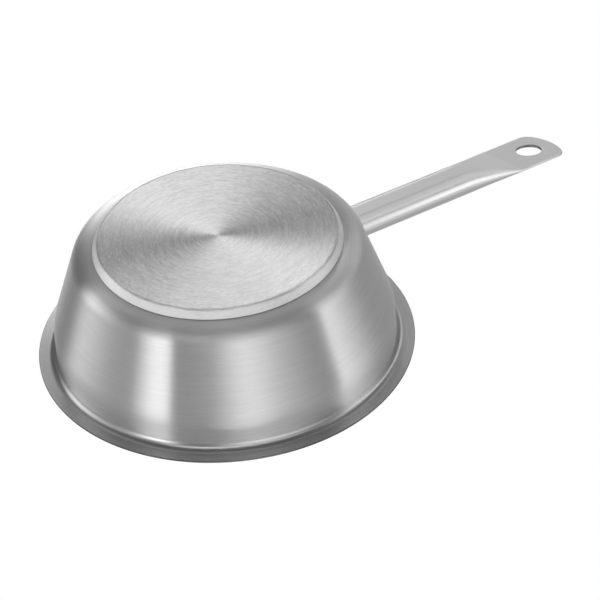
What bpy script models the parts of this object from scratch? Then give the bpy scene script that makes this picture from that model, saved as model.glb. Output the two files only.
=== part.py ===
"""A stainless steel stove pan: a conical bowl with a flanged rim, a layered base and one long tube handle.

Upright, in metres. The origin is the middle of the base's underside, +Z points out of the mouth and the
handle runs along +X, rising as it goes.
"""
import math

import bmesh
import bpy
import numpy as np

# overall sizes
PAN_HEIGHT = 0.0750
RIM_RADIUS = 0.1060
SHEET = 0.0010
GAP = 0.0003
ROUND_STEPS = 96

# base
FACE_RADIUS = 0.0668
CAP_RADIUS = 0.0700
CAP_HEIGHT = 0.0047
CAP_SHEET = 0.0006
BODY_BOTTOM = CAP_HEIGHT + GAP

# rim: a nearly flat flange that a fillet joins to the upright band of the wall
FLANGE_WIDTH = 0.0101
FLANGE_TILT = math.radians(86.5)
FILLET_RADIUS = 0.0049
BAND_RADIUS = RIM_RADIUS - FLANGE_WIDTH
BAND_DROP = 0.0147
BAND_START = PAN_HEIGHT - BAND_DROP

# bowl wall: a cone that a wide bend brings upright, where the band starts
CONE_ANGLE = math.radians(17.83)
BEND_RADIUS = 0.0342
BEND_CENTRE = BAND_RADIUS - BEND_RADIUS
CONE_TOP = BAND_START - BEND_RADIUS * math.sin(CONE_ANGLE)
CONE_FOOT = BEND_CENTRE + BEND_RADIUS * math.cos(CONE_ANGLE) - CONE_TOP * math.tan(CONE_ANGLE)
CORNER_RADIUS = 0.0116

# handle: a flat-sided tube with half-round shoulders, whose axis meets the cone's line ROOT_DROP below the rim
HANDLE_SLOPE = math.radians(15.8)
ROOT_DROP = 0.0185
ROOT_HEIGHT = PAN_HEIGHT - ROOT_DROP
ROOT_RADIUS = CONE_FOOT + ROOT_HEIGHT * math.tan(CONE_ANGLE)
TUBE_HALF_WIDTH = 0.01137
TUBE_HALF_HEIGHT = 0.00713
TUBE_SHEET = 0.0010
TUBE_POINTS = 48

# the far end is pressed flat to a tab with an eyelet: places measured along the axis from the wall
PRESS_START = 0.1145
PRESS_END = 0.1630
PRESS_POWER = 1.75
PRESS_OPEN = 0.94
PRESS_CREASE = 0.20
TAB_HALF_WIDTH = 0.0155
TAB_THICKNESS = 0.0018
TAB_ROUND_START = 0.2019
TAB_ROUND_LENGTH = 0.0110
EYELET_CENTRE = 0.1907
EYELET_HALF_LENGTH = 0.0101
EYELET_HALF_WIDTH = 0.0065
CUTTER_REACH = 0.006

# pressed plate that carries the tube on the wall, with a border all round the tube's foot
PLATE_SHEET = 0.0012
PLATE_BORDER = 0.0042
PLATE_HALF_WIDTH = TUBE_HALF_WIDTH + PLATE_BORDER
PLATE_CORNER_POWER = 2.6
WELD_LEG = 0.0018


def clear_scene():
    for item in list(bpy.data.objects):
        bpy.data.objects.remove(item, do_unlink=True)


def material(name, colour, metallic, roughness):
    made = bpy.data.materials.new(name)
    made.use_nodes = True
    shader = made.node_tree.nodes["Principled BSDF"]
    shader.inputs["Base Color"].default_value = (*colour, 1.0)
    shader.inputs["Metallic"].default_value = metallic
    shader.inputs["Roughness"].default_value = roughness
    made.diffuse_color = (*colour, 1.0)
    return made


def add_object(name, points, faces, finish, sharp=30):
    mesh = bpy.data.meshes.new(name)
    mesh.from_pydata([tuple(p) for p in points], [], faces)
    solid = bmesh.new()
    solid.from_mesh(mesh)
    bmesh.ops.recalc_face_normals(solid, faces=solid.faces)
    solid.to_mesh(mesh)
    solid.free()
    made = bpy.data.objects.new(name, mesh)
    bpy.context.scene.collection.objects.link(made)
    made.data.materials.append(finish)
    mesh.shade_smooth()
    mesh.set_sharp_from_angle(angle=math.radians(sharp))
    return made


def turned(name, profile, finish, steps=ROUND_STEPS):
    """Turns a closed profile of (radius, height) pairs, which starts and ends on the axis, about Z."""
    inner = profile[1:-1]
    angles = np.linspace(0.0, 2.0 * math.pi, steps, endpoint=False)
    points = [(0.0, 0.0, profile[0][1]), (0.0, 0.0, profile[-1][1])]
    for radius, height in inner:
        points += [(radius * math.cos(a), radius * math.sin(a), height) for a in angles]
    faces = []
    last = 2 + (len(inner) - 1) * steps
    for k in range(steps):
        n = (k + 1) % steps
        faces.append((0, 2 + k, 2 + n))
        faces.append((1, last + n, last + k))
        for row in range(len(inner) - 1):
            low = 2 + row * steps
            faces.append((low + k, low + steps + k, low + steps + n, low + n))
    return add_object(name, points, faces, finish)


def cone_radius(height):
    return CONE_FOOT + height * math.tan(CONE_ANGLE)


def wall_at(length):
    """Radius, height and tilt of the wall's outer line; length is measured up it from the band's start."""
    if length >= 0.0:
        return BAND_RADIUS, BAND_START + length, 0.0
    tilt = min(-length / BEND_RADIUS, CONE_ANGLE)
    down = -length - BEND_RADIUS * tilt
    radius = BEND_CENTRE + BEND_RADIUS * math.cos(tilt) - down * math.sin(tilt)
    height = BAND_START - BEND_RADIUS * math.sin(tilt) - down * math.cos(tilt)
    return radius, height, tilt


def wall_length(height):
    """The length at which the wall's outer line reaches a height, as wall_at takes it."""
    if height >= BAND_START:
        return height - BAND_START
    if height >= CONE_TOP:
        return -BEND_RADIUS * math.asin((BAND_START - height) / BEND_RADIUS)
    return -BEND_RADIUS * CONE_ANGLE - (CONE_TOP - height) / math.cos(CONE_ANGLE)


def bowl_outside():
    """Outer line of the bowl as (radius, height, tilt), where tilt is how far the normal points down."""
    centre_height = BODY_BOTTOM + CORNER_RADIUS
    centre_radius = cone_radius(centre_height) - CORNER_RADIUS / math.cos(CONE_ANGLE)
    line = [(0.0, BODY_BOTTOM, math.pi / 2)]
    for tilt in np.linspace(math.pi / 2, CONE_ANGLE, 9):
        radius = centre_radius + CORNER_RADIUS * math.cos(tilt)
        line.append((radius, centre_height - CORNER_RADIUS * math.sin(tilt), tilt))
    for tilt in np.linspace(CONE_ANGLE, 0.0, 7):
        line.append((*wall_at(-BEND_RADIUS * tilt)[:2], tilt))
    # the flange's edge lies on the rim's radius with its upper side at the pan's height, and the fillet under it
    edge_height = PAN_HEIGHT - SHEET * math.sin(FLANGE_TILT)
    fillet_reach = FILLET_RADIUS * (1.0 - math.cos(FLANGE_TILT))
    flange_length = (FLANGE_WIDTH - fillet_reach) / math.sin(FLANGE_TILT)
    fillet_start = edge_height - flange_length * math.cos(FLANGE_TILT) - FILLET_RADIUS * math.sin(FLANGE_TILT)
    for tilt in np.linspace(0.0, FLANGE_TILT, 8):
        radius = BAND_RADIUS + FILLET_RADIUS * (1.0 - math.cos(tilt))
        line.append((radius, fillet_start + FILLET_RADIUS * math.sin(tilt), tilt))
    line.append((RIM_RADIUS, edge_height, FLANGE_TILT))
    return line


def body_shell(finish):
    outside = bowl_outside()
    inside = [(r - SHEET * math.cos(t), z + SHEET * math.sin(t)) for r, z, t in outside]
    inside[0] = (0.0, BODY_BOTTOM + SHEET)
    profile = [(r, z) for r, z, t in outside] + inside[::-1]
    return turned("body_shell", profile, finish)


def base_side(height, inset):
    """Radius of the base's slanted side at a height, moved in by a thickness."""
    slope = math.atan2(CAP_RADIUS - FACE_RADIUS, CAP_HEIGHT)
    return FACE_RADIUS + height * math.tan(slope) - inset / math.cos(slope)


def base_cap(finish):
    edge = 0.00025
    profile = [
        (0.0, 0.0),
        (FACE_RADIUS - edge, 0.0),
        (FACE_RADIUS - 0.3 * edge, 0.1 * edge),
        (base_side(edge, 0.0), edge),
        (base_side(CAP_HEIGHT - edge, 0.0), CAP_HEIGHT - edge),
        (base_side(CAP_HEIGHT, edge), CAP_HEIGHT),
        (base_side(CAP_HEIGHT, CAP_SHEET), CAP_HEIGHT),
        (base_side(CAP_SHEET, CAP_SHEET), CAP_SHEET),
        (0.0, CAP_SHEET),
    ]
    return turned("base_cap", profile, finish)


def heat_core(finish):
    low = CAP_SHEET + GAP
    high = BODY_BOTTOM - GAP
    inset = CAP_SHEET + GAP
    profile = [(0.0, low), (base_side(low, inset), low), (base_side(high, inset), high), (0.0, high)]
    return turned("heat_core", profile, finish)


ROOT = np.array([ROOT_RADIUS, 0.0, ROOT_HEIGHT])
ALONG = np.array([math.cos(HANDLE_SLOPE), 0.0, math.sin(HANDLE_SLOPE)])
ACROSS = np.array([0.0, 1.0, 0.0])
UP = np.array([-math.sin(HANDLE_SLOPE), 0.0, math.cos(HANDLE_SLOPE)])


def handle_point(along, across, up):
    return ROOT + along * ALONG + across * ACROSS + up * UP


def off_wall(point):
    """Distance of a point outside the bowl's wall: from its band, its bend or its cone."""
    radius, below = math.hypot(point[0], point[1]), BAND_START - point[2]
    if below <= 0.0:
        return radius - BAND_RADIUS
    if math.atan2(below, radius - BEND_CENTRE) <= CONE_ANGLE:
        return math.hypot(radius - BEND_CENTRE, below) - BEND_RADIUS
    return (radius - cone_radius(point[2])) * math.cos(CONE_ANGLE)


def along_to_wall(across, up, distance):
    """How far along the handle a line parallel to its axis stands at a distance off the wall."""
    low, high = -0.5 * ROOT_RADIUS, 0.5 * ROOT_RADIUS
    for _ in range(40):
        middle = 0.5 * (low + high)
        if off_wall(handle_point(middle, across, up)) < distance:
            low = middle
        else:
            high = middle
    return 0.5 * (low + high)


def ease(value):
    value = min(max(value, 0.0), 1.0)
    return value * value * (3.0 - 2.0 * value)


def section_sizes(along, inset):
    """Half width, half height, half width of the flat, and the shoulder's crease, at a place on the tube.

    As its height is pressed down the tube spreads, and each shoulder stays a half round of the tube's height.
    """
    x = min(max((along - PRESS_START) / (PRESS_END - PRESS_START), 0.0), 1.0)
    press = x ** PRESS_POWER
    half_width = TUBE_HALF_WIDTH + (TAB_HALF_WIDTH - TUBE_HALF_WIDTH) * press
    half_height = TUBE_HALF_HEIGHT + (0.5 * TAB_THICKNESS - TUBE_HALF_HEIGHT) * press
    flat = half_width - half_height
    crease = PRESS_CREASE * ease(x / 0.5) * (1.0 - ease((x - 0.85) / 0.15))
    return half_width - inset, half_height - inset, flat, crease


def section(along, angles, inset=0.0, narrow=1.0):
    """Points (across, up) of the tube's section: a flat in the middle, a rounded shoulder to each side."""
    half_width, half_height, flat, crease = section_sizes(along, inset)
    if narrow < 1.0:
        half_width = (half_width - half_height) * narrow + half_height
        flat = flat * narrow
    points = []
    for angle in angles:
        across = half_width * math.cos(angle)
        shoulder = min(max((abs(across) - flat) / (half_width - flat), 0.0), 1.0)
        up = half_height * math.sqrt(max(1.0 - crease * shoulder - (1.0 - crease) * shoulder ** 2, 0.0))
        points.append((across, up if math.sin(angle) >= 0.0 else -up))
    return points


def handle_tube(finish):
    quarter = TUBE_POINTS // 4
    # finer steps near the two folds, where the pressed section turns sharply
    first = [0.5 * math.pi * (k / quarter) ** 1.25 for k in range(quarter + 1)]
    upper = first + [math.pi - a for a in first[-2::-1]]
    angles = upper + [2.0 * math.pi - a for a in upper[-2:0:-1]]
    count = len(angles)
    foot = GAP + PLATE_SHEET + GAP
    press = list(np.linspace(PRESS_START, PRESS_START + PRESS_OPEN * (PRESS_END - PRESS_START), 11))
    closing = list(np.linspace(press[-1], PRESS_END, 3)[1:])
    outer = []
    plain = [share * PRESS_START for share in (0.25, 0.62)]
    root = section(0.0, angles)
    outer.append([handle_point(along_to_wall(c, u, foot), c, u) for c, u in root])
    for along in plain + press + closing + [TAB_ROUND_START]:
        outer.append([handle_point(along, c, u) for c, u in section(along, angles)])
    for turn in np.radians((25, 45, 60, 71, 79, 85)):
        along = TAB_ROUND_START + TAB_ROUND_LENGTH * math.sin(turn)
        outer.append([handle_point(along, c, u) for c, u in section(along, angles, 0.0, math.cos(turn))])
    bore = []
    bore_root = section(0.0, angles, TUBE_SHEET)
    bore.append([handle_point(along_to_wall(c, u, foot), c, u) for c, u in bore_root])
    for along in plain + press:
        bore.append([handle_point(along, c, u) for c, u in section(along, angles, TUBE_SHEET)])
    rings = outer[::-1] + bore
    points = [p for ring in rings for p in ring]
    faces = [tuple(range(count))]
    for row in range(len(rings) - 1):
        low = row * count
        for k in range(count):
            n = (k + 1) % count
            faces.append((low + k, low + count + k, low + count + n, low + n))
    # the bore ends in a narrow slot, closed by a strip between its upper and lower halves
    low = (len(rings) - 1) * count
    half = count // 2
    for k in range(half):
        top_a, top_b = k, k + 1
        bottom_a, bottom_b = (count - k) % count, count - k - 1
        corners = [low + top_a, low + top_b, low + bottom_b, low + bottom_a]
        faces.append(tuple(dict.fromkeys(corners)))
    tube = add_object("handle_tube", points, faces, finish, 35)
    cut_eyelet(tube)
    return tube


def cut_eyelet(tube):
    """Cuts the long oval eyelet through the tab with an elliptic cutter."""
    steps = 40
    points = []
    for side in (-1.0, 1.0):
        for k in range(steps):
            a = 2.0 * math.pi * k / steps
            along = EYELET_CENTRE + EYELET_HALF_LENGTH * math.cos(a)
            across = EYELET_HALF_WIDTH * math.sin(a)
            points.append(handle_point(along, across, side * CUTTER_REACH))
    faces = [tuple(range(steps))[::-1], tuple(range(steps, 2 * steps))]
    for k in range(steps):
        n = (k + 1) % steps
        faces.append((k, n, steps + n, steps + k))
    cutter = add_object("eyelet_cutter", points, faces, tube.data.materials[0])
    cutter.hide_render = True
    cutter.display_type = "WIRE"
    cut = tube.modifiers.new("eyelet", "BOOLEAN")
    cut.operation = "DIFFERENCE"
    cut.solver = "EXACT"
    cut.object = cutter


def wall_point(around, length, distance):
    """Point on the wall's skin, moved off it: around is an arc length, length is as wall_at takes it."""
    radius, height, tilt = wall_at(length)
    angle = around / radius
    radius += distance * math.cos(tilt)
    return (radius * math.cos(angle), radius * math.sin(angle), height - distance * math.sin(tilt))


def mounting_plate(finish):
    """A rounded plate bent to the wall, built from rings that grow from its middle to its outline."""
    steps = 48
    edge = 0.0003
    # the tube's axis meets the wall at the plate's middle, and the slanting tube leaves the border all round
    middle = wall_length(handle_point(along_to_wall(0.0, 0.0, 0.0), 0.0, 0.0)[2])
    half_height = TUBE_HALF_HEIGHT / math.cos(HANDLE_SLOPE + wall_at(middle)[2]) + PLATE_BORDER
    rings = []
    for scale, distance in (
        (0.30, GAP), (0.65, GAP), (0.97, GAP), (1.0, GAP + edge), (1.0, GAP + PLATE_SHEET - edge),
        (0.97, GAP + PLATE_SHEET), (0.65, GAP + PLATE_SHEET), (0.30, GAP + PLATE_SHEET),
    ):
        ring = []
        for k in range(steps):
            a = 2.0 * math.pi * k / steps
            c, s = math.cos(a), math.sin(a)
            power = abs(c) ** PLATE_CORNER_POWER + abs(s) ** PLATE_CORNER_POWER
            swell = scale * power ** (-1.0 / PLATE_CORNER_POWER)
            around = PLATE_HALF_WIDTH * swell * c
            rise = half_height * swell * s
            ring.append(wall_point(around, middle + rise, distance))
        rings.append(ring)
    points = [wall_point(0.0, middle, GAP), wall_point(0.0, middle, GAP + PLATE_SHEET)]
    points += [p for ring in rings for p in ring]
    last = 2 + (len(rings) - 1) * steps
    faces = []
    for k in range(steps):
        n = (k + 1) % steps
        faces.append((0, 2 + n, 2 + k))
        faces.append((1, last + k, last + n))
        for row in range(len(rings) - 1):
            low = 2 + row * steps
            faces.append((low + k, low + n, low + steps + n, low + steps + k))
    return add_object("mounting_plate", points, faces, finish)


def root_weld(finish):
    """A fillet of weld round the tube where it stands on its plate."""
    steps = 48
    on_plate = GAP + PLATE_SHEET + GAP
    # the bead's section: how far off the tube, and how far off the plate
    corners = (
        (GAP, 0.0),
        (GAP, WELD_LEG),
        (0.50 * WELD_LEG, 0.80 * WELD_LEG),
        (0.85 * WELD_LEG, 0.45 * WELD_LEG),
        (WELD_LEG, 0.0),
    )
    angles = [2.0 * math.pi * (k + 0.5) / steps for k in range(steps)]
    lines = [section(0.0, angles, -away) for away, rise in corners]
    points = []
    for k in range(steps):
        for line, (away, rise) in zip(lines, corners):
            across, up = line[k]
            points.append(handle_point(along_to_wall(across, up, on_plate + rise), across, up))
    count = len(corners)
    faces = []
    for k in range(steps):
        n = (k + 1) % steps
        for j in range(count):
            m = (j + 1) % count
            faces.append((k * count + j, k * count + m, n * count + m, n * count + j))
    return add_object("root_weld", points, faces, finish)


clear_scene()
body_shell(material("bowl_steel", (0.60, 0.60, 0.59), 1.0, 0.30))
base_cap(material("base_steel", (0.62, 0.62, 0.61), 1.0, 0.28))
heat_core(material("core_aluminium", (0.72, 0.73, 0.74), 1.0, 0.45))
handle_tube(material("handle_steel", (0.62, 0.62, 0.61), 1.0, 0.30))
mounting_plate(material("plate_steel", (0.60, 0.60, 0.59), 1.0, 0.35))
root_weld(material("weld_steel", (0.55, 0.55, 0.54), 1.0, 0.45))
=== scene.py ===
"""Looks of a conical stainless steel stove pan with a layered base and one long tube handle.

The pan stands upright on z = 0, in metres, with its handle along +X. It was pictured lying upside down on
its rim, so the main camera and most of the light come from below the floor, which only shows from above.
The studio has its own axes: z up out of the base's underside, and the camera at azimuth 270 degrees.
"""

import math

import bmesh
import bpy
import numpy as np
from mathutils import Matrix, Quaternion, Vector


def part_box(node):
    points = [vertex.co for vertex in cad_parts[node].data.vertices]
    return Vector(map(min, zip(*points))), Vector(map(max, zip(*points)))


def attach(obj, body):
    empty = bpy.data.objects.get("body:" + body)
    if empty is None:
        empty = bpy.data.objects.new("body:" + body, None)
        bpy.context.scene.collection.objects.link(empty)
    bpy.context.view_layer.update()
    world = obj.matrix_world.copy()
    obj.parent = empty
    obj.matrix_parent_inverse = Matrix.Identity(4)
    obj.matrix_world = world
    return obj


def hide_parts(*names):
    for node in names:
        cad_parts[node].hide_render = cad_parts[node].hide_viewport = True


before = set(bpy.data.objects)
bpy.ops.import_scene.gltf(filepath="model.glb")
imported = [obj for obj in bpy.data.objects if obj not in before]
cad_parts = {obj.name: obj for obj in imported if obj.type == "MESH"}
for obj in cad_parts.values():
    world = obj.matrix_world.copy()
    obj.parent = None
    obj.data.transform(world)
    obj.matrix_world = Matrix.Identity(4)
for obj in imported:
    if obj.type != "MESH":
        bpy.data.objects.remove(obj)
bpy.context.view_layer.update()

# sizes read from the frame
bowl_low, bowl_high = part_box("body_shell")
base_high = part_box("base_cap")[1]
RIM_RADIUS = bowl_high.y
PAN_HEIGHT = bowl_high.z
BODY_BOTTOM = bowl_low.z
CAP_RADIUS = base_high.y
CAP_HEIGHT = base_high.z

# the same driving sizes as the solids have: bowl and base
SHEET = 0.0010
GAP = 0.0003
FACE_RADIUS = 0.0668
CAP_SHEET = 0.0006
FLANGE_WIDTH = 0.0101
FLANGE_TILT = math.radians(86.5)
FILLET_RADIUS = 0.0049
BAND_RADIUS = RIM_RADIUS - FLANGE_WIDTH
BAND_DROP = 0.0147
BAND_START = PAN_HEIGHT - BAND_DROP
FLANGE_EDGE = np.array([RIM_RADIUS, PAN_HEIGHT - SHEET * math.sin(FLANGE_TILT)])
FLANGE_REACH = FLANGE_WIDTH - FILLET_RADIUS * (1.0 - math.cos(FLANGE_TILT))
FLANGE_START = FLANGE_EDGE - FLANGE_REACH * np.array([1.0, 1.0 / math.tan(FLANGE_TILT)])
FILLET_START = FLANGE_START[1] - FILLET_RADIUS * math.sin(FLANGE_TILT)
CONE_ANGLE = math.radians(17.83)
BEND_RADIUS = 0.0342
BEND_CENTRE = BAND_RADIUS - BEND_RADIUS
CONE_TOP = BAND_START - BEND_RADIUS * math.sin(CONE_ANGLE)
CONE_FOOT = BEND_CENTRE + BEND_RADIUS * math.cos(CONE_ANGLE) - CONE_TOP * math.tan(CONE_ANGLE)
CORNER_RADIUS = 0.0116

# the same driving sizes as the solids have: handle
HANDLE_SLOPE = math.radians(15.8)
ROOT_DROP = 0.0185
ROOT_HEIGHT = PAN_HEIGHT - ROOT_DROP
ROOT_RADIUS = CONE_FOOT + ROOT_HEIGHT * math.tan(CONE_ANGLE)
TUBE_HALF_WIDTH = 0.01137
TUBE_HALF_HEIGHT = 0.00713
TUBE_SHEET = 0.0010
PRESS_START = 0.1145
PRESS_END = 0.1630
PRESS_POWER = 1.75
PRESS_OPEN = 0.94
PRESS_CREASE = 0.20
TAB_HALF_WIDTH = 0.0155
TAB_THICKNESS = 0.0018
TAB_ROUND_START = 0.2019
TAB_ROUND_LENGTH = 0.0110
EYELET_CENTRE = 0.1907
EYELET_HALF_LENGTH = 0.0101
EYELET_HALF_WIDTH = 0.0065
PLATE_SHEET = 0.0012
PLATE_BORDER = 0.0042
PLATE_HALF_WIDTH = TUBE_HALF_WIDTH + PLATE_BORDER
PLATE_CORNER_POWER = 2.6
WELD_LEG = 0.0018

# sizes of the finer surfaces alone
CUT_EDGE = 0.00030
FACE_EDGE = 0.00030
GROOVE_WIDTH = 0.00040
GROOVE_DEPTH = 0.00030
GROOVE_INSET = 0.00065
GROOVE_EDGE = 0.00005
RIM_SOFT = 0.30
EYELET_EDGE = 0.00035
CUTTER_OVERSHOOT = 0.0030
WALL_CLEARANCE = 0.020
PLATE_EDGE = 0.00040
RIPPLE_PITCH = 0.0011
RIPPLE_DEPTH = 0.00012
SHARP_FOLD = math.radians(40)
# painted shade on the eyelet's wall reaches a little past the eyelet's outline, as a share of its size
EYELET_SHADE_SHARE = 1.03
EYELET_SHADE_SOFT = 0.015

# steps of the finer surfaces: round the bowl and base, the handle's section, eyelet, plate and weld
ROUND_STEPS = 360
SECTION_QUARTER_STEPS = 40
EYELET_STEPS = 120
PLATE_STEPS = 160
WELD_STEPS = 720

# painted shade on cut edges, as a share of their face's tone, and the swing in roughness that goes with a
# full swing in tone
PAINTED_EDGE_SHADE = 0.30
ROUGHNESS_SWING = 0.30

# camera, in the studio's axes
HANDLE_AZIMUTH = math.radians(46.29)
CAMERA_ELEVATION = math.radians(36.606)
CAMERA_ROLL = math.radians(-5.201)
CAMERA_DISTANCE = 2.2065
CAMERA_REACH = 20.0
IMAGE_SIDE = 600
FOCAL_PIXELS = 4000.0
BASE_CENTRE_PIXEL = (217.19, 235.19)
SENSOR = 36.0

# softboxes of the studio: first and last azimuth, softness of each side, lowest and highest elevation,
# softness of those, all in degrees, and the level
SOFTBOXES = (
    ("front_left_strip", 212.5, 231.2, 8.5, 2.2, -14, 14, 8, 3.5),
    ("front_box", 269.5, 304, 15, 44, -12, 13, 5, 2.6),
    ("right_strip", 341, 355, 1.6, 33, -37, 46, 30, 1.7),
    ("back_left_box", 152, 171, 9, 40, -5, 30, 7, 3.0),
    ("overhead_box", 41, 145, 3, 35, 41, 110, 18, 0.6),
    ("back_strip", 85, 103, 5, 6, 12, 29, 3, 7.0),
    ("back_right_strip", -11, 64, 16, 16, 19, 26, 4, 2.4),
    ("front_high_box", 228, 303, 21, 59, 29, 37, 3, 4.0),
    ("low_back_box", 62, 80, 18, 9, -10, 21, 8, 0.70),
    ("back_left_low_box", 92, 120, 8, 8, -60, -16, 8, 0.55),
    ("left_strip", 200, 212, 20, 3, -4, 32, 6, 0.8),
)
# the room's level above and below its horizon, and the horizon's elevation and softness in degrees
UPPER_LEVEL = 0.13
LOWER_LEVEL = 0.48
HORIZON = -4.0
HORIZON_SOFT = 10.0

# small gridded lamps beside the handle: elevation in degrees and power in watts
HANDLE_LAMPS = (
    ("handle_lamp_low", -15, 0.0010),
    ("handle_lamp_middle", -6, 0.0012),
    ("handle_lamp_high", 5, 0.0013),
)
HANDLE_LAMP_AZIMUTH = 6
HANDLE_LAMP_SIDE = 0.12
HANDLE_LAMP_SPREAD = math.radians(24)
HANDLE_LAMP_DISTANCE = 0.5
HANDLE_LAMP_AIM = 0.10

# lamp over the upright pan, and the floor
TOP_LAMP_PLACE = Vector((-0.35, 0.45, 1.3))
TOP_LAMP_AIM = Vector((0.05, 0.0, 0.03))
TOP_LAMP_SIZE = 0.9
TOP_LAMP_POWER = 9.0
FLOOR_RADIUS = 1.6
FLOOR_FADE = (0.30, 0.95)
FLOOR_DROP = 0.0005
FLOOR_STEPS = 128

# a half turn about X and then a turn about Z take a studio direction to the pan's axes, and back again
STUDIO = Matrix.Rotation(HANDLE_AZIMUTH, 3, "Z") @ Matrix.Rotation(math.pi, 3, "X")

# handle axes
ROOT = np.array([ROOT_RADIUS, 0.0, ROOT_HEIGHT])
ALONG = np.array([math.cos(HANDLE_SLOPE), 0.0, math.sin(HANDLE_SLOPE)])
ACROSS = np.array([0.0, 1.0, 0.0])
UP = np.array([-math.sin(HANDLE_SLOPE), 0.0, math.cos(HANDLE_SLOPE)])


def add_camera():
    """Long lens that looks at the pan's underside, turned so that the base's centre falls on its pixel."""
    ahead = Vector((0.0, math.cos(CAMERA_ELEVATION), -math.sin(CAMERA_ELEVATION)))
    level = Vector((1.0, 0.0, 0.0))
    upright = level.cross(ahead)
    place = -CAMERA_DISTANCE * ahead
    right = level * math.cos(CAMERA_ROLL) + upright * math.sin(CAMERA_ROLL)
    top = upright * math.cos(CAMERA_ROLL) - level * math.sin(CAMERA_ROLL)
    beside = BASE_CENTRE_PIXEL[0] - 0.5 * IMAGE_SIDE
    below = BASE_CENTRE_PIXEL[1] - 0.5 * IMAGE_SIDE
    pan = Quaternion(top, math.atan(beside / FOCAL_PIXELS))
    ahead, right = pan @ ahead, pan @ right
    tilt = Quaternion(right, math.atan(below / math.hypot(FOCAL_PIXELS, beside)))
    ahead, top = tilt @ ahead, tilt @ top
    axes = Matrix((STUDIO @ right, STUDIO @ top, STUDIO @ -ahead)).transposed()
    lens = bpy.data.cameras.new("camera")
    lens.sensor_width = SENSOR
    lens.lens = FOCAL_PIXELS / IMAGE_SIDE * SENSOR
    lens.clip_end = CAMERA_REACH
    made = new_object("camera", lens)
    made.matrix_world = Matrix.Translation(STUDIO @ place) @ axes.to_4x4()
    bpy.context.scene.camera = made


def linear(hex_colour):
    """sRGB hex to the linear colour that a shader takes."""
    parts = np.array([int(hex_colour[i:i + 2], 16) for i in (1, 3, 5)]) / 255.0
    parts = np.where(parts <= 0.04045, parts / 12.92, ((parts + 0.055) / 1.055) ** 2.4)
    return (*parts.tolist(), 1.0)


def node(tree, kind, links=None, **settings):
    """Adds a shader node. A setting names a property, or an input by in_ and its name; links maps inputs."""
    made = tree.nodes.new(kind)
    for name, value in settings.items():
        if name.startswith("in_"):
            key = name[3:].replace("_", " ")
            made.inputs[int(key) if key.isdigit() else key].default_value = value
        else:
            setattr(made, name, value)
    for key, source in (links or {}).items():
        tree.links.new(source, made.inputs[key])
    return made


def empty_tree(owner):
    """The node tree of a new material or world, emptied."""
    owner.use_nodes = True
    owner.node_tree.nodes.clear()
    return owner.node_tree


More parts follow.
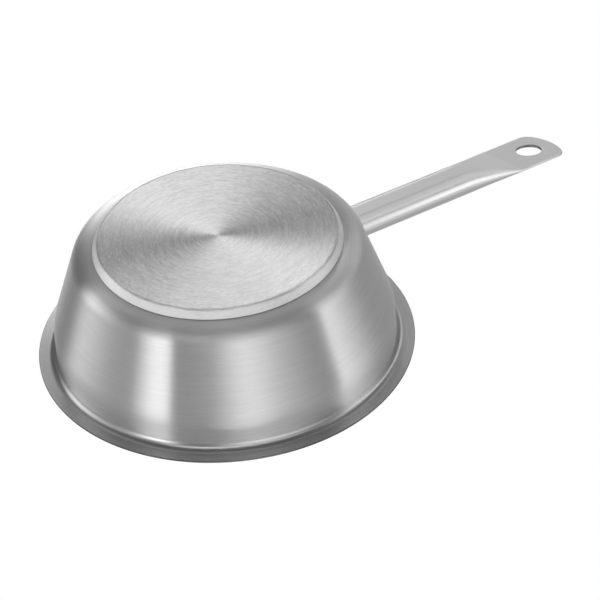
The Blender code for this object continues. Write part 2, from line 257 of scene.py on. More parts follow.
def brushed_steel(name, tone, roughness, anisotropy, line, streak, contrast, wander, depth, trim=None):
    """Stainless steel with brush lines: line and streak are their width and length in metres.

    The mesh carries four attributes. lay is a place in metres: two coordinates run with the lines and the
    third crosses them. grain is the direction of the lines. The lobe is widest across the lines. trim is 1
    where the metal has its second finish, given here as its tone, roughness, anisotropy and contrast, and the
    fourth is 1 on a cut edge, which painted shade makes much darker.
    """
    made = bpy.data.materials.new(name)
    tree = empty_tree(made)
    lay = node(tree, "ShaderNodeAttribute", attribute_name="lay").outputs["Vector"]
    grain = node(tree, "ShaderNodeAttribute", attribute_name="grain").outputs["Vector"]
    trimmed = node(tree, "ShaderNodeAttribute", attribute_name="trim").outputs["Fac"]
    painted_shade_share = node(tree, "ShaderNodeAttribute", attribute_name="raw").outputs["Fac"]
    plain = (tone, roughness, anisotropy, contrast)
    trim_tone, trim_roughness, trim_anisotropy, trim_contrast = trim or plain

    def blend(share, first, second):
        """From the first value to the second as the share goes from 0 to 1."""
        return node(tree, "ShaderNodeMapRange", {"Value": share},
                    in_To_Min=first, in_To_Max=second).outputs[0]

    strokes = []
    for coarseness, detail in ((1.0, 2.0), (4.0, 3.0)):
        along, over = 1.0 / (streak * coarseness), 1.0 / (line * coarseness)
        stretch = node(tree, "ShaderNodeMapping", {"Vector": lay},
                       vector_type="VECTOR", in_Scale=(along, along, over))
        noise = node(tree, "ShaderNodeTexNoise", {"Vector": stretch.outputs["Vector"]},
                     in_Scale=1.0, in_Detail=detail, in_Roughness=0.6)
        strokes.append(noise.outputs["Fac"])
    fine, broad = strokes
    both = node(tree, "ShaderNodeMath", {0: fine, 1: broad}, operation="ADD").outputs[0]
    darkest = blend(trimmed, 1.0 - contrast, 1.0 - trim_contrast)
    shade = node(tree, "ShaderNodeMapRange", {"Value": both, "To Min": darkest},
                 in_From_Min=0.70, in_From_Max=1.30, in_To_Max=1.0).outputs[0]
    # painted shade: cut edges are darkened to a share of their tone
    edge_shade = blend(painted_shade_share, 1.0, PAINTED_EDGE_SHADE)
    shade = node(tree, "ShaderNodeMath", {0: shade, 1: edge_shade}, operation="MULTIPLY").outputs[0]
    plain_colour = node(tree, "ShaderNodeMix", {0: trimmed}, data_type="RGBA",
                        in_6=linear(tone), in_7=linear(trim_tone)).outputs[2]
    colour = node(tree, "ShaderNodeVectorMath", {0: plain_colour, "Scale": shade}, operation="SCALE")
    swing = ROUGHNESS_SWING * contrast
    lowest = blend(trimmed, roughness - 0.5 * swing, trim_roughness - 0.5 * swing)
    rough = node(tree, "ShaderNodeMath", {0: broad, 2: lowest}, operation="MULTIPLY_ADD", in_1=swing)
    relief = node(tree, "ShaderNodeBump", {"Height": fine}, in_Strength=1.0, in_Distance=depth)
    # the lines wander a few degrees off their course, which breaks the sheen into fine rays
    normal = node(tree, "ShaderNodeNewGeometry").outputs["Normal"]
    sideways = node(tree, "ShaderNodeVectorMath", {0: normal, 1: grain}, operation="CROSS_PRODUCT")
    turn = node(tree, "ShaderNodeMapRange", {"Value": fine},
                in_From_Min=0.25, in_From_Max=0.75, in_To_Min=-wander, in_To_Max=wander)
    drift = node(tree, "ShaderNodeVectorMath", {0: sideways.outputs[0], "Scale": turn.outputs[0]},
                 operation="SCALE")
    course = node(tree, "ShaderNodeVectorMath", {0: grain, 1: drift.outputs[0]}, operation="ADD")
    shader = node(tree, "ShaderNodeBsdfPrincipled",
                  {"Base Color": colour.outputs[0], "Roughness": rough.outputs[0],
                   "Anisotropic": blend(trimmed, anisotropy, trim_anisotropy),
                   "Normal": relief.outputs["Normal"], "Tangent": course.outputs[0]},
                  in_Metallic=1.0, in_Anisotropic_Rotation=0.25)
    node(tree, "ShaderNodeOutputMaterial", {"Surface": shader.outputs[0]})
    return made


def fillet(before, corner, after, radius, steps):
    """Points of the arc that rounds a corner: both tangent points and the arc between them."""
    before, corner, after = (np.asarray(p, float) for p in (before, corner, after))
    back = (before - corner) / np.linalg.norm(before - corner)
    on = (after - corner) / np.linalg.norm(after - corner)
    half = 0.5 * math.acos(np.clip(back @ on, -1.0, 1.0))
    middle = corner + (back + on) / np.linalg.norm(back + on) * radius / math.sin(half)
    start = corner + back * radius / math.tan(half) - middle
    end = corner + on * radius / math.tan(half) - middle
    sweep = math.pi - 2.0 * half
    t = np.linspace(0.0, 1.0, steps + 1)[:, None]
    return middle + (np.sin((1.0 - t) * sweep) * start + np.sin(t * sweep) * end) / math.sin(sweep)


def stretch_of(start, end, steps):
    """Evenly spaced points of a straight stretch, without its two ends."""
    t = np.linspace(0.0, 1.0, steps + 2)[1:-1, None]
    return np.asarray(start, float) * (1.0 - t) + np.asarray(end, float) * t


def full_turn(steps):
    """Evenly spaced angles of a full turn."""
    return np.linspace(0.0, 2.0 * math.pi, steps, endpoint=False)


def ring_quads(rows, count, closed=False, backward=False):
    """Quads between neighbouring rings of points, and from the last ring to the first where they close up."""
    k = np.arange(count)
    n = (k + 1) % count
    ring = np.arange(rows if closed else rows - 1)[:, None]
    low, high = ring * count, (ring + 1) % rows * count
    corners = (low + k, low + n, high + n, high + k)
    order = (0, 3, 2, 1) if backward else (0, 1, 2, 3)
    return np.stack([corners[i] for i in order], 2).reshape(-1, 4).tolist()


def new_mesh(name, points, faces):
    """Mesh of a grid or list of points."""
    mesh = bpy.data.meshes.new(name)
    mesh.from_pydata(points.reshape(-1, 3).tolist(), [], faces)
    return mesh


def new_object(name, data):
    """Object of a mesh, lamp or camera, put in the scene."""
    made = bpy.data.objects.new(name, data)
    bpy.context.scene.collection.objects.link(made)
    return made


def face_outward(mesh, merge=False):
    """Turns the faces of a closed mesh outward, after its doubles are merged where asked."""
    solid = bmesh.new()
    solid.from_mesh(mesh)
    if merge:
        bmesh.ops.remove_doubles(solid, verts=solid.verts, dist=1e-6)
        bmesh.ops.dissolve_degenerate(solid, edges=solid.edges, dist=1e-7)
    bmesh.ops.recalc_face_normals(solid, faces=solid.faces)
    solid.to_mesh(mesh)
    solid.free()


def finish_piece(name, mesh, lay, grain, finish, slot, node_name, **shares):
    """Gives a mesh its brush attributes and its metal, and puts it in the node's place.

    shares are further attributes of the metal, with a value for each point.
    """
    for key, values in (("lay", lay), ("grain", grain)):
        mesh.attributes.new(key, "FLOAT_VECTOR", "POINT").data.foreach_set("vector", values.ravel())
    for key, values in shares.items():
        mesh.attributes.new(key, "FLOAT", "POINT").data.foreach_set("value", values)
    mesh.materials.clear()
    mesh.materials.append(finish)
    made = new_object(name, mesh)
    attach(made, "root")
    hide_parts(node_name)


def turned(name, profile, finish, slot, node_name, **shares):
    """Carries a closed profile of (radius, height) points, which starts and ends on the axis, round Z.

    A point's normal is the mean of its two stretches' normals, weighted by their lengths, so flats stay
    flat right up to their rounded edges. shares are further attributes, with a value for each profile point.
    """
    edges = np.diff(profile, axis=0)
    facing = np.stack([edges[:, 1], -edges[:, 0]], 1)
    facing = np.vstack([facing[:1], facing]) + np.vstack([facing, facing[-1:]])
    facing[0] = (0.0, -1.0)
    facing[-1] = (0.0, math.copysign(1.0, facing[-2, 1]))
    facing /= np.linalg.norm(facing, axis=1)[:, None]
    run = np.concatenate([[0.0], np.cumsum(np.linalg.norm(edges, axis=1))])
    angle = full_turn(ROUND_STEPS)
    ring = np.stack([np.cos(angle), np.sin(angle)], 1)
    count = len(profile) - 2

    def carried(pairs):
        """Rings of the (outward, upward) pairs, and then the two ends on the axis."""
        out = pairs[1:-1, 0][:, None, None] * ring[None]
        up = np.broadcast_to(pairs[1:-1, 1][:, None, None], (count, ROUND_STEPS, 1))
        ends = [[0.0, 0.0, pairs[0, 1]], [0.0, 0.0, pairs[-1, 1]]]
        return np.vstack([np.concatenate([out, up], 2).reshape(-1, 3), ends])

    def repeated(values):
        """The values of the rings, each for all its points, and then those of the two ends."""
        return np.concatenate([np.repeat(values[1:-1], ROUND_STEPS), values[[0, -1]]])

    points = carried(profile)
    lay = np.column_stack([points[:, :2], repeated(run)])
    grain = np.zeros_like(points)
    grain[:-2, :2] = np.tile(np.stack([-ring[:, 1], ring[:, 0]], 1), (count, 1))
    grain[-2:, 0] = 1.0
    k = np.arange(ROUND_STEPS)
    n = (k + 1) % ROUND_STEPS
    first_end, last_end, last_ring = len(points) - 2, len(points) - 1, (count - 1) * ROUND_STEPS
    first_fan = np.stack([np.full(ROUND_STEPS, first_end), n, k], 1).tolist()
    last_fan = np.stack([np.full(ROUND_STEPS, last_end), last_ring + k, last_ring + n], 1).tolist()
    mesh = new_mesh(name, points, ring_quads(count, ROUND_STEPS) + first_fan + last_fan)
    mesh.shade_smooth()
    mesh.normals_split_custom_set_from_vertices(carried(facing).tolist())
    shares = {key: repeated(values) for key, values in shares.items()}
    finish_piece(name, mesh, lay, grain, finish, slot, node_name, **shares)


def cone_radius(height):
    """Outer radius of the cone at a height."""
    return CONE_FOOT + height * math.tan(CONE_ANGLE)


def wall_at(length):
    """Radius, height and tilt of the wall's outer line: length is an array, measured up from the band.

    Above its start is the upright band, below it the bend, a circle's arc as long as its radius times the
    cone's angle, and then the cone. The tilt is how far the normal points down.
    """
    tilt = np.clip(-length / BEND_RADIUS, 0.0, CONE_ANGLE)
    down = -length - BEND_RADIUS * tilt
    radius = BEND_CENTRE + BEND_RADIUS * np.cos(tilt) - down * np.sin(tilt)
    return radius, BAND_START - BEND_RADIUS * np.sin(tilt) - down * np.cos(tilt), tilt


def bowl_line():
    """Outer line of the bowl and its tilt: floor, corner, cone, bend, upright band, fillet and flange."""
    centre_height = BODY_BOTTOM + CORNER_RADIUS
    centre_radius = cone_radius(centre_height) - CORNER_RADIUS / math.cos(CONE_ANGLE)
    corner_tilt = np.linspace(0.5 * math.pi, CONE_ANGLE, 25)
    corner = np.stack([centre_radius + CORNER_RADIUS * np.cos(corner_tilt),
                       centre_height - CORNER_RADIUS * np.sin(corner_tilt)], 1)
    floor_radius = np.linspace(0.0, centre_radius, 16)[:-1]
    floor = np.stack([floor_radius, np.full_like(floor_radius, BODY_BOTTOM)], 1)
    bend_radius, bend_height, bend_tilt = wall_at(-BEND_RADIUS * np.linspace(CONE_ANGLE, 0.0, 17))
    bend = np.stack([bend_radius, bend_height], 1)
    turn = np.linspace(0.0, FLANGE_TILT, 25)
    round_in = np.stack([BAND_RADIUS + FILLET_RADIUS * (1.0 - np.cos(turn)),
                         FILLET_START + FILLET_RADIUS * np.sin(turn)], 1)
    stretches = (
        (floor, 0.5 * math.pi),
        (corner, corner_tilt),
        (stretch_of(corner[-1], bend[0], 20), CONE_ANGLE),
        (bend, bend_tilt),
        (stretch_of(bend[-1], round_in[0], 12), 0.0),
        (round_in, turn),
        (stretch_of(FLANGE_START, FLANGE_EDGE, 10), FLANGE_TILT),
        (FLANGE_EDGE[None], FLANGE_TILT),
    )
    line = np.vstack([points for points, _ in stretches])
    return line, np.concatenate([np.broadcast_to(tilt, len(points)) for points, tilt in stretches])


def bowl(finish):
    """One sheet: the outer line, the same line moved in by the sheet's thickness, and a rounded cut edge.

    From the foot of its fillet on the rim has the second, darker tone and its own roughness and anisotropy,
    and the cut edge is darkened with painted shade.
    """
    outer, tilt = bowl_line()
    inner = outer - SHEET * np.stack([np.cos(tilt), -np.sin(tilt)], 1)
    outer_edge = fillet(outer[-2], outer[-1], inner[-1], CUT_EDGE, 6)
    inner_edge = fillet(outer[-1], inner[-1], inner[-2], CUT_EDGE, 6)
    profile = np.vstack([outer[:-1], outer_edge, inner_edge, inner[-2::-1]])
    rim = np.clip((profile[:, 1] - FILLET_START) / (RIM_SOFT * FILLET_RADIUS), 0.0, 1.0)
    # the cut edge is marked for painted shade
    cut = np.zeros(len(profile))
    cut[len(outer):len(outer) + len(outer_edge) + len(inner_edge) - 2] = 1.0
    turned("bowl", profile, finish, "bowl_steel", "body_shell", trim=rim, raw=cut)


def base_side(height, inset):
    """Radius of the base's slanted side at a height, moved in by a thickness."""
    slope = math.atan2(CAP_RADIUS - FACE_RADIUS, CAP_HEIGHT)
    return FACE_RADIUS + height * math.tan(slope) - inset / math.cos(slope)


def base(finish):
    """Dished cap: flat turned face with a fine groove near its rounded edge, slanted side, and the inside.

    The slanted side has the second finish.
    """
    middle = (0.0, 0.0)
    face = (FACE_RADIUS, 0.0)
    top = (base_side(CAP_HEIGHT, 0.0), CAP_HEIGHT)
    top_inner = (base_side(CAP_HEIGHT, CAP_SHEET), CAP_HEIGHT)
    face_inner = (base_side(CAP_SHEET, CAP_SHEET), CAP_SHEET)
    middle_inner = (0.0, CAP_SHEET)
    face_edge = fillet(middle, face, top, FACE_EDGE, 8)
    top_edge = fillet(face, top, top_inner, 0.5 * CUT_EDGE, 5)
    groove = FACE_RADIUS - GROOVE_INSET
    start = (groove - 0.5 * GROOVE_WIDTH, 0.0)
    bottom = (groove, GROOVE_DEPTH)
    end = (groove + 0.5 * GROOVE_WIDTH, 0.0)
    groove_start = fillet(middle, start, bottom, GROOVE_EDGE, 3)
    profile = np.vstack([
        middle, stretch_of(middle, groove_start[0], 30), groove_start,
        fillet(start, bottom, end, GROOVE_EDGE, 3), fillet(bottom, end, face, GROOVE_EDGE, 3),
        face_edge, stretch_of(face_edge[-1], top_edge[0], 4), top_edge, top_inner, face_inner,
        stretch_of(face_inner, middle_inner, 4), middle_inner,
    ])
    side = (profile[:, 1] > 0.5 * FACE_EDGE) & (profile[:, 0] > groove + GROOVE_WIDTH)
    turned("base", profile, finish, "base_steel", "base_cap", trim=side.astype(float))


def ease(value):
    """Smooth step from 0 to 1, level at both ends."""
    value = np.clip(value, 0.0, 1.0)
    return value * value * (3.0 - 2.0 * value)


def handle_place(along, across, up):
    """Points of the handle's own coordinates, as arrays, in the pan's axes."""
    return ROOT + along[..., None] * ALONG + across[..., None] * ACROSS + up[..., None] * UP


def off_wall(place):
    """Distance of points outside the bowl's wall: from its band, its bend or its cone."""
    radius, below = np.hypot(place[..., 0], place[..., 1]), BAND_START - place[..., 2]
    turn = np.arctan2(below, radius - BEND_CENTRE)
    from_bend = np.hypot(radius - BEND_CENTRE, below) - BEND_RADIUS
    from_cone = (radius - cone_radius(place[..., 2])) * math.cos(CONE_ANGLE)
    return np.where(below <= 0.0, radius - BAND_RADIUS, np.where(turn <= CONE_ANGLE, from_bend, from_cone))


def along_to_wall(across, up, distance):
    """How far along its axis a line parallel to it stands at a distance off the wall, by halving."""
    low = np.full(across.shape, -0.5 * ROOT_RADIUS)
    high = -low
    for _ in range(40):
        middle = 0.5 * (low + high)
        inside = off_wall(handle_place(middle, across, up)) < distance
        low, high = np.where(inside, middle, low), np.where(inside, high, middle)
    return 0.5 * (low + high)


def section(along, angle, inset=0.0):
    """The tube's section as arrays of (across, up, shoulder): a flat in the middle and two rounded shoulders.

    As its height is pressed down the tube spreads, and each shoulder stays a half round of the tube's height,
    slightly creased where it meets the flat, until only two sheets with a folded edge are left.
    """
    x = np.clip((along - PRESS_START) / (PRESS_END - PRESS_START), 0.0, 1.0)
    press = x ** PRESS_POWER
    half_width = TUBE_HALF_WIDTH + (TAB_HALF_WIDTH - TUBE_HALF_WIDTH) * press - inset
    half_height = TUBE_HALF_HEIGHT + (0.5 * TAB_THICKNESS - TUBE_HALF_HEIGHT) * press - inset
    flat = half_width - half_height
    crease = PRESS_CREASE * ease(x / 0.5) * (1.0 - ease((x - 0.85) / 0.15))
    across = half_width * np.cos(angle)
    shoulder = np.clip((np.abs(across) - flat) / (half_width - flat), 0.0, 1.0)
    height = half_height * np.sqrt(np.maximum(1.0 - crease * shoulder - (1.0 - crease) * shoulder ** 2, 0.0))
    return across, np.where(np.sin(angle) >= -1e-9, height, -height), shoulder


def ring_angles(quarter):
    """Angles round the section, closer together near the two folds."""
    first = 0.5 * math.pi * (np.arange(quarter + 1) / quarter) ** 1.5
    upper = np.concatenate([first, math.pi - first[-2::-1]])
    return np.concatenate([upper, 2.0 * math.pi - upper[-2:0:-1]])


def tube_surface(angle, inset, stations):
    """Grid of points: the tube's section carried along its axis, from the wall to the last station."""
    foot = GAP + PLATE_SHEET + GAP
    across, up, _ = section(stations[:, None], angle[None], inset)
    along = np.broadcast_to(stations[:, None], across.shape).copy()
    along[0] = along_to_wall(across[0], up[0], foot)
    return handle_place(along, across, up)


def tube_draft():
    """Outer skin from wall to tip, and the bore inside it, which ends in a closed slot."""
    angle = ring_angles(SECTION_QUARTER_STEPS)
    count = len(angle)
    # the first ring follows the wall, and the second stands clear of it
    plain = np.linspace(0.0, PRESS_START, 10)
    plain[1] = WALL_CLEARANCE
    press = np.linspace(PRESS_START, PRESS_START + PRESS_OPEN * (PRESS_END - PRESS_START), 50)[1:]
    closing = np.linspace(press[-1], PRESS_END, 22)[1:]
    tab = np.linspace(PRESS_END, TAB_ROUND_START, 12)[1:]
    outer = tube_surface(angle, 0.0, np.concatenate([plain, press, closing, tab]))
    # the tip is half an ellipse, and its folded edge keeps its roundness all the way round
    turn = np.linspace(0.0, 0.5 * math.pi, 33)[1:, None]
    across, up, shoulder = section(np.full((1, 1), TAB_ROUND_START), angle[None])
    reach = TAB_ROUND_LENGTH - 0.5 * TAB_THICKNESS * (1.0 - shoulder)
    tip = handle_place(TAB_ROUND_START + np.sin(turn) * reach, np.cos(turn) * across, up + 0.0 * turn)
    bore = tube_surface(angle, TUBE_SHEET, np.concatenate([plain, press]))
    rings = np.concatenate([tip[::-1], outer[::-1], bore])
    # the bore ends in a narrow slot: a strip between its two sheets, with a triangle at each fold
    last = (len(rings) - 1) * count
    half = count // 2
    upper = np.arange(1, half - 1)
    strip = last + np.stack([upper, upper + 1, count - upper - 1, count - upper], 1)
    folds = [[last, last + 1, last + count - 1], [last + half - 1, last + half, last + half + 1]]
    faces = ring_quads(len(rings), count, backward=True) + strip.tolist() + folds
    mesh = new_mesh("tube_draft", rings, faces)
    face_outward(mesh, merge=True)
    return mesh


def cut_eyelet(mesh):
    """Cuts the eyelet with a long round cutter that flares at both faces, so its edges come out rounded."""
    half = 0.5 * TAB_THICKNESS
    curve = np.linspace(0.0, 0.5 * math.pi, 8)
    rise = np.concatenate([half - EYELET_EDGE + EYELET_EDGE * np.sin(curve), [half + CUTTER_OVERSHOOT]])
    flare = np.concatenate([EYELET_EDGE * (1.0 - np.cos(curve)), [EYELET_EDGE + CUTTER_OVERSHOOT]])
    up = np.concatenate([-rise[::-1], rise])[:, None]
    flare = np.concatenate([flare[::-1], flare])[:, None]
    angle = full_turn(EYELET_STEPS)[None]
    along = EYELET_CENTRE + (EYELET_HALF_LENGTH + flare) * np.cos(angle)
    across = (EYELET_HALF_WIDTH + flare) * np.sin(angle)
    points = handle_place(along, across, up + 0.0 * angle)
    first, last = np.arange(EYELET_STEPS), np.arange(EYELET_STEPS) + (len(points) - 1) * EYELET_STEPS
    faces = ring_quads(len(points), EYELET_STEPS) + [first[::-1].tolist(), last.tolist()]
    cutter_mesh = new_mesh("eyelet_cutter", points, faces)
    face_outward(cutter_mesh, merge=True)
    cutter = new_object("eyelet_cutter", cutter_mesh)
    whole = new_object("tube_draft", mesh)
    cut = whole.modifiers.new("eyelet", "BOOLEAN")
    cut.operation = "DIFFERENCE"
    cut.solver = "EXACT"
    cut.object = cutter
    scene_state = bpy.context.evaluated_depsgraph_get()
    result = bpy.data.meshes.new_from_object(whole.evaluated_get(scene_state))
    for item in (cutter, whole):
        bpy.data.objects.remove(item, do_unlink=True)
    result.name = "handle"
    return result


def point_values(mesh, key):
    """A vector of each point of a mesh, such as its place or its normal."""
    values = np.empty(len(mesh.vertices) * 3)
    mesh.vertices.foreach_get(key, values)
    return values.reshape(-1, 3)


def handle(finish):
    """Tube with its pressed tab, brushed across its length, and the wall of its eyelet, darkened with painted
    shade.
    """
    mesh = cut_eyelet(tube_draft())
    mesh.shade_smooth()
    mesh.set_sharp_from_angle(angle=SHARP_FOLD)
    place = point_values(mesh, "co") - ROOT
    along, across, up = place @ ALONG, place @ ACROSS, place @ UP
    grain = np.cross(ALONG, point_values(mesh, "normal"))
    # where the skin faces along the handle its lines run straight across
    grain[np.linalg.norm(grain, axis=1) < 0.05] += ACROSS
    grain /= np.linalg.norm(grain, axis=1)[:, None]
    # painted shade darkens the eyelet's wall and a little beyond its outline
    off_centre = np.hypot((along - EYELET_CENTRE) / EYELET_HALF_LENGTH, across / EYELET_HALF_WIDTH)
    cut = np.clip((EYELET_SHADE_SHARE - off_centre) / EYELET_SHADE_SOFT, 0.0, 1.0)
    lay = np.stack([across, up, along], 1)
    finish_piece("handle", mesh, lay, grain, finish, "handle_steel", "handle_tube", raw=cut)


def mounting_plate(finish):
    """Rounded plate bent to the wall: rings grow from its middle, round its edge and shrink back outside."""
    # the tube's axis meets the wall's bend at the plate's middle
    axis = np.zeros(1)
    axis_height = handle_place(along_to_wall(axis, axis, 0.0), axis, axis)[0, 2]
    lean = math.asin((BAND_START - axis_height) / BEND_RADIUS)
    middle = -BEND_RADIUS * lean
    half_height = TUBE_HALF_HEIGHT / math.cos(HANDLE_SLOPE + lean) + PLATE_BORDER
    curve = np.linspace(0.0, 0.5 * math.pi, 7)
    share = np.linspace(0.02, 1.0, 24)[:-1]
    level = np.zeros_like(share)
    scale = np.concatenate([share, np.ones_like(curve)])
    inset = PLATE_EDGE - PLATE_EDGE * np.concatenate([level, np.sin(curve)])
    off = GAP + np.concatenate([level, PLATE_EDGE * (1.0 - np.cos(curve))])
    scale = np.concatenate([scale, scale[::-1]])[:, None]
    inset = np.concatenate([inset, inset[::-1]])[:, None]
    off = np.concatenate([off, 2.0 * GAP + PLATE_SHEET - off[::-1]])[:, None]
    angle = full_turn(PLATE_STEPS)
    c, s = np.cos(angle), np.sin(angle)
    swell = (np.abs(c) ** PLATE_CORNER_POWER + np.abs(s) ** PLATE_CORNER_POWER) ** (-1.0 / PLATE_CORNER_POWER)
    around = scale * (PLATE_HALF_WIDTH - inset) * (swell * c)
    rise = scale * (half_height - inset) * (swell * s)
    skin_radius, height, tilt = wall_at(middle + rise)
    turn = around / skin_radius
    radius = skin_radius + off * np.cos(tilt)
    points = np.stack([radius * np.cos(turn), radius * np.sin(turn), height - off * np.sin(tilt)], 2)
    first, last = np.arange(PLATE_STEPS), np.arange(PLATE_STEPS) + (len(points) - 1) * PLATE_STEPS
    faces = ring_quads(len(points), PLATE_STEPS) + [first[::-1].tolist(), last.tolist()]
    mesh = new_mesh("plate", points, faces)
    mesh.shade_smooth()
    lay = np.stack([around, np.zeros_like(around), rise], 2)
    grain = np.stack([-np.sin(turn), np.cos(turn), np.zeros_like(turn)], 2)
    finish_piece("plate", mesh, lay, grain, finish, "plate_steel", "mounting_plate")


def root_weld(finish):
    """Fillet of weld round the tube's foot: a ridge with ripples, as the torch moved on in small steps."""
    angle = full_turn(WELD_STEPS)
    across, up, _ = section(np.zeros(WELD_STEPS), angle)
    walk = np.hypot(np.roll(across, -1) - across, np.roll(up, -1) - up).sum()
    ripples = round(walk / RIPPLE_PITCH)
    length = np.concatenate([[0.0], np.cumsum(np.hypot(np.diff(across), np.diff(up)))]) / walk
    ripple = RIPPLE_DEPTH * np.abs(np.sin(math.pi * ripples * length))
    # the ridge's section: from the tube down to the plate, bulging, and back underneath
    bead = np.linspace(0.0, 0.5 * math.pi, 11)
    ridge_away = np.concatenate([[GAP], GAP + (WELD_LEG - GAP) * (1.0 - np.cos(bead)) ** 0.8])
    ridge_rise = np.concatenate([[0.0], WELD_LEG * (1.0 - np.sin(bead)) ** 0.8])
    bulge = np.concatenate([[0.0], np.sin(2.0 * bead)])
    out = ridge_away[:, None] + bulge[:, None] * ripple[None]
    high = ridge_rise[:, None] + bulge[:, None] * ripple[None]
    across, up, _ = section(np.zeros((1, WELD_STEPS)), angle[None] + 0.0 * out, -out)
    along = along_to_wall(across, up, 2.0 * GAP + PLATE_SHEET + high)
    points = handle_place(along, across, up)
    grain = np.roll(points, -1, 1) - points
    grain /= np.linalg.norm(grain, axis=2)[..., None]
    mesh = new_mesh("weld", points, ring_quads(len(points), WELD_STEPS, closed=True, backward=True))
    face_outward(mesh)
    mesh.shade_smooth()
    finish_piece("weld", mesh, points - ROOT, grain, finish, "weld_steel", "root_weld")


def pale_floor():
    """Plain pale floor that shows from above only and fades to the white around it."""
    angle = full_turn(FLOOR_STEPS)
    ring = np.stack([FLOOR_RADIUS * np.cos(angle), FLOOR_RADIUS * np.sin(angle),
                     np.full(FLOOR_STEPS, -FLOOR_DROP)], 1)
    mesh = new_mesh("floor", ring, [list(range(FLOOR_STEPS))])
    made = new_object("floor", mesh)
    paint = bpy.data.materials.new("pale_floor")
    tree = empty_tree(paint)
    place = node(tree, "ShaderNodeTexCoord")
    reach = node(tree, "ShaderNodeVectorMath", {0: place.outputs["Object"]}, operation="LENGTH")
    fade = node(tree, "ShaderNodeMapRange", {"Value": reach.outputs["Value"]},
                interpolation_type="SMOOTHSTEP",
                in_From_Min=FLOOR_FADE[0] * FLOOR_RADIUS, in_From_Max=FLOOR_FADE[1] * FLOOR_RADIUS)
    side = node(tree, "ShaderNodeNewGeometry")
    hidden = node(tree, "ShaderNodeMath", {0: fade.outputs[0], 1: side.outputs["Backfacing"]},
                  operation="MAXIMUM")
    matt = node(tree, "ShaderNodeBsdfDiffuse", in_Color=linear("#EDEDEB"))
    clear = node(tree, "ShaderNodeBsdfTransparent")
    mixed = node(tree, "ShaderNodeMixShader",
                 {0: hidden.outputs[0], 1: matt.outputs[0], 2: clear.outputs[0]})
    node(tree, "ShaderNodeOutputMaterial", {"Surface": mixed.outputs[0]})
    mesh.materials.append(paint)
    made.visible_glossy = False
    made.visible_shadow = False
    made.visible_diffuse = False


def studio_world():
    """Grey room with softboxes, seen by the metal. The camera sees plain white in its place."""
    world = bpy.data.worlds.new("studio")
    bpy.context.scene.world = world
    tree = empty_tree(world)

    def maths(operation, one, other=0.0):
        """A maths node's result. one is a socket, other a socket or a number."""
        if isinstance(other, (int, float)):
            return node(tree, "ShaderNodeMath", {0: one}, operation=operation, in_1=other).outputs[0]
        return node(tree, "ShaderNodeMath", {0: one, 1: other}, operation=operation).outputs[0]

    def step(value, edge, soft, rising, level=1.0):
        """Soft step at an edge, up to a level or down from it."""
        low, high = (0.0, level) if rising else (level, 0.0)
        return node(tree, "ShaderNodeMapRange", {"Value": value}, interpolation_type="SMOOTHSTEP",
                    in_From_Min=edge - soft, in_From_Max=edge + soft,
                    in_To_Min=low, in_To_Max=high).outputs[0]

    look = node(tree, "ShaderNodeTexCoord")
    turn = node(tree, "ShaderNodeMapping", {"Vector": look.outputs["Generated"]}, vector_type="VECTOR",
                in_Rotation=(math.pi, 0.0, HANDLE_AZIMUTH))
    unit = node(tree, "ShaderNodeVectorMath", {0: turn.outputs[0]}, operation="NORMALIZE")
    part = node(tree, "ShaderNodeSeparateXYZ", {0: unit.outputs[0]})
    azimuth = maths("DEGREES", maths("ARCTAN2", part.outputs["Y"], part.outputs["X"]))
    elevation = maths("DEGREES", maths("ARCSINE", part.outputs["Z"]))
    total = maths("ADD", step(elevation, HORIZON, HORIZON_SOFT, True, UPPER_LEVEL - LOWER_LEVEL), LOWER_LEVEL)
    for name, first, last, first_soft, last_soft, low, high, soft, level in SOFTBOXES:
        middle, half = 0.5 * (first + last), 0.5 * (last - first)
        off_middle = node(tree, "ShaderNodeMath", {0: maths("SUBTRACT", azimuth, middle)}, operation="WRAP",
                          in_1=180.0, in_2=-180.0, label=name).outputs[0]
        sides = maths("MULTIPLY", step(off_middle, -half, first_soft, True, level),
                      step(off_middle, half, last_soft, False))
        ends = maths("MULTIPLY", step(elevation, low, soft, True), step(elevation, high, soft, False))
        total = maths("ADD", total, maths("MULTIPLY", sides, ends))
    room = node(tree, "ShaderNodeBackground", {"Strength": total}, in_Color=linear("#FFFFFF"))
    white = node(tree, "ShaderNodeBackground", in_Color=linear("#FFFFFF"))
    ray = node(tree, "ShaderNodeLightPath")
    mixed = node(tree, "ShaderNodeMixShader",
                 {0: ray.outputs["Is Camera Ray"], 1: room.outputs[0], 2: white.outputs[0]})
    node(tree, "ShaderNodeOutputWorld", {"Surface": mixed.outputs[0]})


def area_lamp(name, shape, size, power, place, aim):
    """Area lamp at a place, which shines in a direction."""
    lamp = bpy.data.lights.new(name, "AREA")
    lamp.shape = shape
    lamp.size = size
    lamp.energy = power
    made = new_object(name, lamp)
    made.location = place
    made.rotation_euler = aim.to_track_quat("-Z", "Y").to_euler()
    return made


def handle_lamps():
    """Small gridded softboxes, one over the other, to the right of the handle.

    Their narrow beams give its near shoulder a bright band and miss the bowl.
    """
    aimed_at = Vector((ROOT + HANDLE_LAMP_AIM * ALONG).tolist())
    turn = math.radians(HANDLE_LAMP_AZIMUTH)
    for name, elevation, power in HANDLE_LAMPS:
        rise = math.radians(elevation)
        level = math.cos(rise)
        toward = STUDIO @ Vector((math.cos(turn) * level, math.sin(turn) * level, math.sin(rise)))
        made = area_lamp(name, "SQUARE", HANDLE_LAMP_SIDE, power,
                         aimed_at + HANDLE_LAMP_DISTANCE * toward, -toward)
        made.data.spread = HANDLE_LAMP_SPREAD
        made.visible_camera = False


bpy.context.scene.view_settings.view_transform = "Standard"
add_camera()
studio_world()
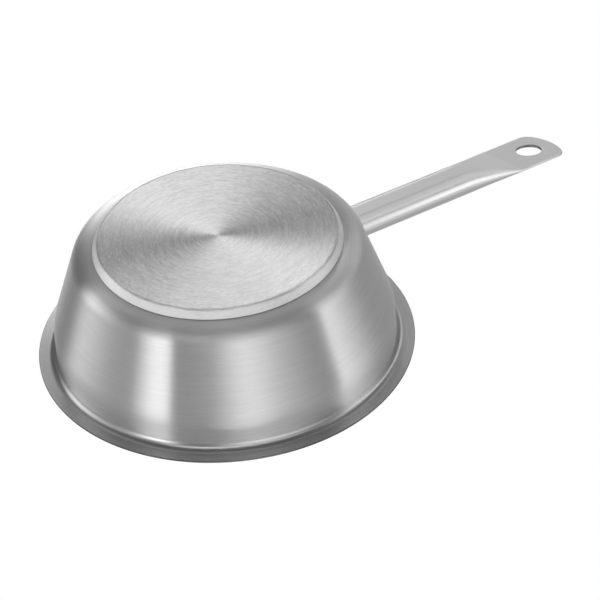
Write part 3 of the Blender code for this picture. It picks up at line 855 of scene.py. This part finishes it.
# soft lamp over the upright pan: it lights the bowl's inside and gives the floor its shadow
area_lamp("top_lamp", "DISK", TOP_LAMP_SIZE, TOP_LAMP_POWER, TOP_LAMP_PLACE, TOP_LAMP_AIM - TOP_LAMP_PLACE)
handle_lamps()
pale_floor()

# satin stainless steel, brushed round the wall with a fine belt: hoops of faint lines, upright soft streaks
wall_steel = brushed_steel("satin_brushed_stainless", "#D2D2D2", 0.345, 1.0,
                           line=0.00045, streak=0.012, contrast=0.09, wander=0.0, depth=0.000001,
                           trim=("#B6B6B6", 0.30, 0.5, 0.12))
# turned stainless steel: short strokes in rings, which throw two bright fans across the face, and a lighter,
# ground slanted edge
face_steel = brushed_steel("turned_stainless", "#D9D9D9", 0.39, 0.93,
                           line=0.00042, streak=0.0028, contrast=0.34, wander=0.12, depth=0.000008,
                           trim=("#EEEEEE", 0.55, 0.0, 0.12))
# stainless tube ground across its length: narrow bands of light that run with the handle
tube_steel = brushed_steel("ground_stainless_tube", "#D2D2D2", 0.291, 0.556,
                           line=0.00040, streak=0.010, contrast=0.035, wander=0.03, depth=0.000001)
# pressed stainless plate, dull from its blasting after the welding
plate_steel = brushed_steel("blasted_stainless_plate", "#C6C6C6", 0.52, 0.20,
                            line=0.00060, streak=0.004, contrast=0.10, wander=0.03, depth=0.000004)
# stainless weld metal: dull grey with a ripple at each step of the torch
weld_steel = brushed_steel("stainless_weld_bead", "#B0B0AF", 0.48, 0.10,
                           line=0.00080, streak=0.002, contrast=0.25, wander=0.03, depth=0.000008)
# rolled aluminium core, seen only as a thin line inside the base
core_metal = bpy.data.materials.new("rolled_aluminium")
core_metal.use_nodes = True
core_shader = core_metal.node_tree.nodes["Principled BSDF"]
core_shader.inputs["Base Color"].default_value = linear("#D9DADB")
core_shader.inputs["Metallic"].default_value = 1.0
core_shader.inputs["Roughness"].default_value = 0.45

bowl(wall_steel)
base(face_steel)
handle(tube_steel)
mounting_plate(plate_steel)
root_weld(weld_steel)
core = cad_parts["heat_core"]
core.data.materials.clear()
core.data.materials.append(core_metal)
